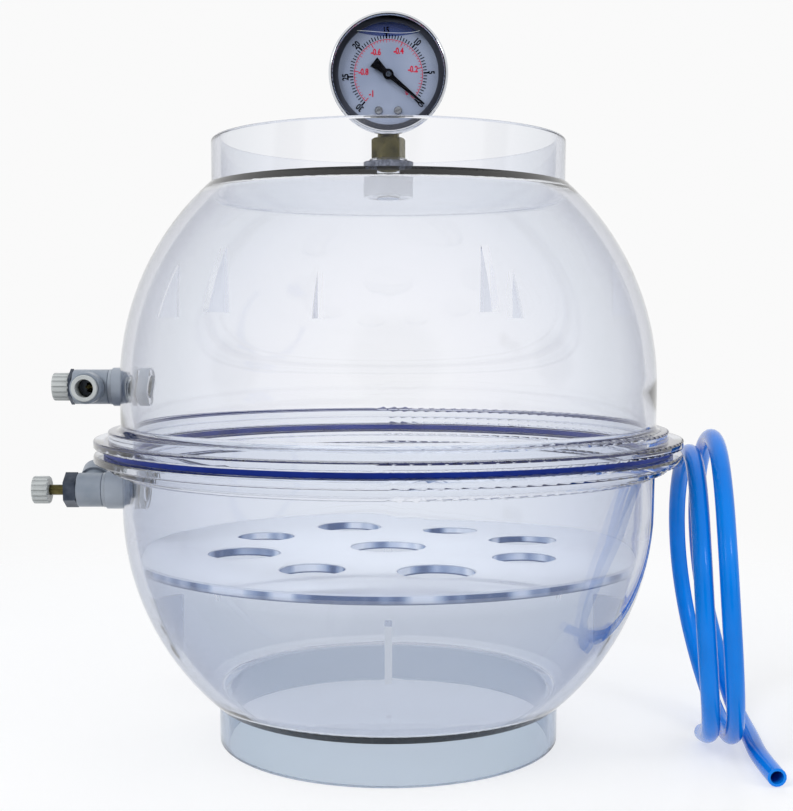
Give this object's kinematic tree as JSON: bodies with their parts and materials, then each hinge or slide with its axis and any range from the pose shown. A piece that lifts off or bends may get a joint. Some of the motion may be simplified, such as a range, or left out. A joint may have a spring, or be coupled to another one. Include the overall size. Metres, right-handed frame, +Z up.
{
  "type": "vacuum chamber",
  "caption": "Spherical clear vacuum chamber: domed lid with dial gauge on a bowl with sealing ring, perforated shelf, needle valves with push-in elbows, and a coil of tube.",
  "frame": {"origin": "centre of the foot ring's underside, on the chamber's axis", "axes": "+Z up along the chamber axis, the gauge faces -Y, the valves point along -X, the coil of tube lies on the +X side"},
  "size_m": [0.4135, 0.33, 0.4055],
  "materials": {
    "clear_plastic": "clear moulded polycarbonate, polished, with a cool tint",
    "shelf_plastic": "clear sheet with polished faces and cut edges",
    "blue_rubber": "smooth translucent blue silicone",
    "brass": "machined brass",
    "polished_steel": "polished stainless steel",
    "bright_steel": "bright machined steel",
    "gauge_window": "clear flat window",
    "black_rubber": "black sealing rubber",
    "dial_enamel": "pale enamel under clear filling liquid",
    "black_enamel": "black enamel",
    "white_plastic": "white sealing plastic",
    "grey_plastic": "moulded grey plastic",
    "light_plastic": "moulded light grey plastic",
    "dark_nickel": "black nickel on brass",
    "blue_tube": "glossy blue extruded tube"
  },
  "bodies": {
    "base": {"bowl": "clear_plastic", "seal_ring": "blue_rubber", "shelf_plate": "shelf_plastic", "bowl_valve_washer": "white_plastic", "bowl_valve_core": "brass", "bowl_valve_o_rings": "black_rubber", "bowl_valve_bonnet": "dark_nickel", "hose_coil": "blue_tube", "hose_tail": "blue_tube"},
    "lid": {"dome_lid": "clear_plastic", "socket_washer": "white_plastic", "gauge_socket": "brass", "gauge_case": "polished_steel", "gauge_bezel": "polished_steel", "gauge_window": "gauge_window", "gauge_gasket": "black_rubber", "fill_plug": "black_rubber", "gauge_dial": "dial_enamel", "dial_screws": "bright_steel", "movement_frame": "brass", "bourdon_tube": "brass", "tube_tip": "brass", "tip_link": "brass", "hairspring": "bright_steel", "lid_valve_washer": "white_plastic", "lid_valve_core": "brass", "lid_valve_o_rings": "black_rubber", "lid_valve_bonnet": "dark_nickel"},
    "gauge_sector": {"sector_gear": "brass"},
    "gauge_pointer": {"pointer": "black_enamel", "pinion_arbor": "brass"},
    "lid_valve_elbow_body": {"lid_valve_elbow": "grey_plastic", "lid_valve_tube_seal": "black_rubber", "lid_valve_grab_ring": "bright_steel"},
    "lid_valve_collet_body": {"lid_valve_collet": "light_plastic"},
    "lid_valve_needle_body": {"lid_valve_needle": "brass"},
    "lid_valve_knob_body": {"lid_valve_knob": "light_plastic"},
    "bowl_valve_elbow_body": {"bowl_valve_elbow": "grey_plastic", "bowl_valve_tube_seal": "black_rubber", "bowl_valve_grab_ring": "bright_steel"},
    "bowl_valve_collet_body": {"bowl_valve_collet": "light_plastic"},
    "bowl_valve_needle_body": {"bowl_valve_needle": "brass"},
    "bowl_valve_knob_body": {"bowl_valve_knob": "light_plastic"}
  },
  "joints": [
    {"name": "lid_lift", "type": "slide", "parent": "base", "child": "lid", "axis": [0, 0, 1], "range_m": [0, 0.18]},
    {"name": "sector_swing", "type": "hinge", "parent": "lid", "child": "gauge_sector", "pos_m": [-0.01691, 0, 0.36684], "axis": [0, -1, 0], "range_deg": [-33.38, 0], "stiffness_Nm_per_rad": 0.0001, "springref_deg": 2.86},
    {"name": "pointer_turn", "type": "hinge", "parent": "lid", "child": "gauge_pointer", "pos_m": [0, 0, 0.373], "axis": [0, -1, 0], "range_deg": [0, 267]},
    {"name": "lid_valve_swivel", "type": "hinge", "parent": "lid", "child": "lid_valve_elbow_body", "pos_m": [-0.1682, 0, 0.2025], "axis": [-1, 0, 0], "continuous": true},
    {"name": "lid_valve_needle_travel", "type": "slide", "parent": "lid", "child": "lid_valve_needle_body", "axis": [-1, 0, 0], "range_m": [0, 0.0088]},
    {"name": "lid_valve_knob_turn", "type": "hinge", "parent": "lid_valve_needle_body", "child": "lid_valve_knob_body", "pos_m": [-0.1761, 0, 0.2025], "axis": [-1, 0, 0], "range_deg": [0, 3168]},
    {"name": "lid_valve_collet_press", "type": "slide", "parent": "lid_valve_elbow_body", "child": "lid_valve_collet_body", "axis": [0, 1, 0], "range_m": [0, 0.001], "stiffness_N_per_m": 200},
    {"name": "bowl_valve_swivel", "type": "hinge", "parent": "base", "child": "bowl_valve_elbow_body", "pos_m": [-0.1702, 0, 0.1435], "axis": [-1, 0, 0], "range_deg": [-9, 239]},
    {"name": "bowl_valve_needle_travel", "type": "slide", "parent": "base", "child": "bowl_valve_needle_body", "axis": [-1, 0, 0], "range_m": [-0.0088, 0]},
    {"name": "bowl_valve_knob_turn", "type": "hinge", "parent": "bowl_valve_needle_body", "child": "bowl_valve_knob_body", "pos_m": [-0.1812, 0, 0.1435], "axis": [-1, 0, 0], "range_deg": [-3168, 0]},
    {"name": "bowl_valve_collet_press", "type": "slide", "parent": "bowl_valve_elbow_body", "child": "bowl_valve_collet_body", "axis": [0, -0.9063, -0.4226], "range_m": [0, 0.001], "stiffness_N_per_m": 200}
  ],
  "couplings": [
    {"joint": "pointer_turn", "follows": "sector_swing", "ratio": -8},
    {"joint": "lid_valve_knob_turn", "follows": "lid_valve_needle_travel", "rad_per_m": 6283.2},
    {"joint": "bowl_valve_knob_turn", "follows": "bowl_valve_needle_travel", "rad_per_m": 6283.2}
  ]
}
